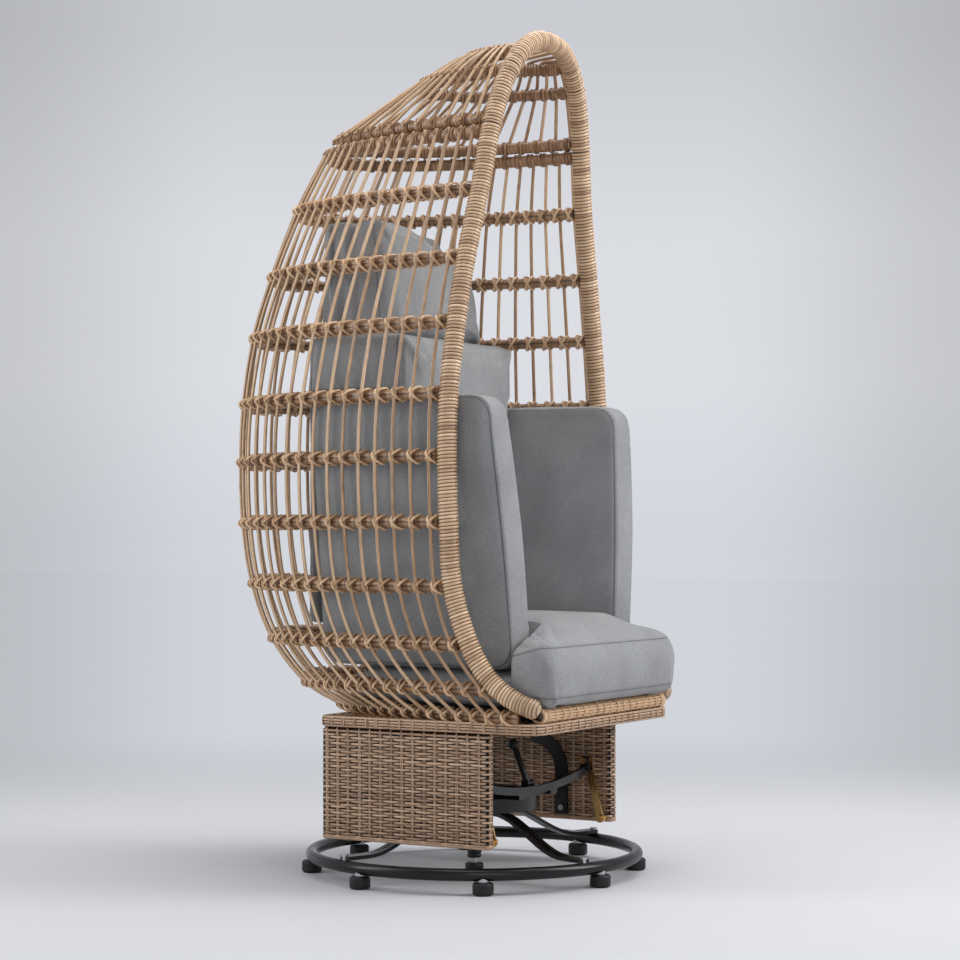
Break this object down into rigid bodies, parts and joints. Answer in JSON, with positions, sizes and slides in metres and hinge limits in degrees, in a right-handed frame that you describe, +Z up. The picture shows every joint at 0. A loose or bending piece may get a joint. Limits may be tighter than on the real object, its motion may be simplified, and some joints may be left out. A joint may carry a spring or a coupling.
{
  "type": "gliding wicker pod chair",
  "caption": "Tall egg-shaped wicker pod chair with a wrapped rim, hooped open shell and thick cushions, gliding on flat links over a swivelling cradle and a round footed base.",
  "frame": {"origin": "on the floor under the swivel axis, in the middle of the base ring", "axes": "+Z is up and is the swivel axis; -Y is the chair's front, where the sitter's feet go; +X is the sitter's left"},
  "size_m": [0.6238, 0.8068, 1.5354],
  "materials": {
    "black_paint": "satin black powder coat",
    "black_rubber": "matte black rubber",
    "bright_steel": "plain zinc-grey steel",
    "brass": "satin yellow brass",
    "woven_rattan": "close brown weave of round strands, satin",
    "wrapped_rattan": "light brown strands wound and lashed, satin",
    "grey_cloth": "grey woven upholstery cloth, matte"
  },
  "bodies": {
    "base": {"base_ring": "black_paint", "base_legs": "black_paint", "leg_bolts": "bright_steel", "foot_pads": "black_rubber", "foot_washers": "bright_steel", "hub": "black_paint", "swivel_bearing": "bright_steel", "centre_bellows": "black_rubber", "centre_stem": "bright_steel", "centre_foot": "black_rubber"},
    "cradle": {"swivel_dish": "black_paint", "swivel_post": "bright_steel", "cradle_rails": "black_paint", "front_bow": "black_paint", "rear_bow": "black_paint", "upper_link_bolts": "brass", "lever_clevis": "black_paint"},
    "lever": {"lock_lever": "black_paint", "lever_knob": "black_rubber"},
    "front_link": {"front_links": "brass"},
    "rear_link": {"rear_links": "brass"},
    "seat": {"lower_link_bolts": "brass", "left_panel_skin": "woven_rattan", "right_panel_skin": "woven_rattan", "panel_frames": "black_paint", "panel_braces": "black_paint", "brace_bolts": "bright_steel", "deck_skin": "woven_rattan", "deck_frame": "black_paint", "front_rail": "wrapped_rattan", "rail_collars": "wrapped_rattan", "slat_frame": "black_paint", "lock_catch": "bright_steel", "left_rim": "wrapped_rattan", "right_rim": "wrapped_rattan", "dome_rim": "wrapped_rattan", "crown_hoop": "wrapped_rattan", "dome_hoop": "wrapped_rattan", "dome_base_hoop": "wrapped_rattan", "shell_top_hoop": "wrapped_rattan", "shell_hoop_1": "wrapped_rattan", "shell_hoop_2": "wrapped_rattan", "shell_hoop_3": "wrapped_rattan", "shell_hoop_4": "wrapped_rattan", "shell_hoop_5": "wrapped_rattan", "shell_hoop_6": "wrapped_rattan", "shell_hoop_7": "wrapped_rattan", "shell_hoop_8": "wrapped_rattan", "shell_hoop_9": "wrapped_rattan", "shell_hoop_10": "wrapped_rattan", "left_shell_strands": "wrapped_rattan", "back_shell_strands": "wrapped_rattan", "right_shell_strands": "wrapped_rattan", "dome_strand_set": "wrapped_rattan", "seat_cushion": "grey_cloth", "left_arm_cushion": "grey_cloth", "right_arm_cushion": "grey_cloth", "back_cushion": "grey_cloth", "head_cushion": "grey_cloth"}
  },
  "joints": [
    {"name": "swivel", "type": "hinge", "parent": "base", "child": "cradle", "pos_m": [0, 0, 0.12], "axis": [0, 0, 1], "continuous": true},
    {"name": "front_link_swing", "type": "hinge", "parent": "cradle", "child": "front_link", "pos_m": [0, -0.13, 0.195], "axis": [1, 0, 0], "range_deg": [-12, 12]},
    {"name": "seat_tilt", "type": "hinge", "parent": "front_link", "child": "seat", "pos_m": [0, -0.156, 0.086], "axis": [1, 0, 0], "range_deg": [-12, 12]},
    {"name": "rear_link_swing", "type": "hinge", "parent": "cradle", "child": "rear_link", "pos_m": [0, 0.13, 0.195], "axis": [1, 0, 0], "range_deg": [-13, 13]},
    {"name": "lever_turn", "type": "hinge", "parent": "cradle", "child": "lever", "pos_m": [0, -0.1127, 0.168], "axis": [1, 0, 0], "range_deg": [0, 20]}
  ],
  "couplings": [
    {"joint": "seat_tilt", "follows": "front_link_swing", "ratio": -0.84142},
    {"joint": "rear_link_swing", "follows": "front_link_swing", "ratio": 1}
  ]
}
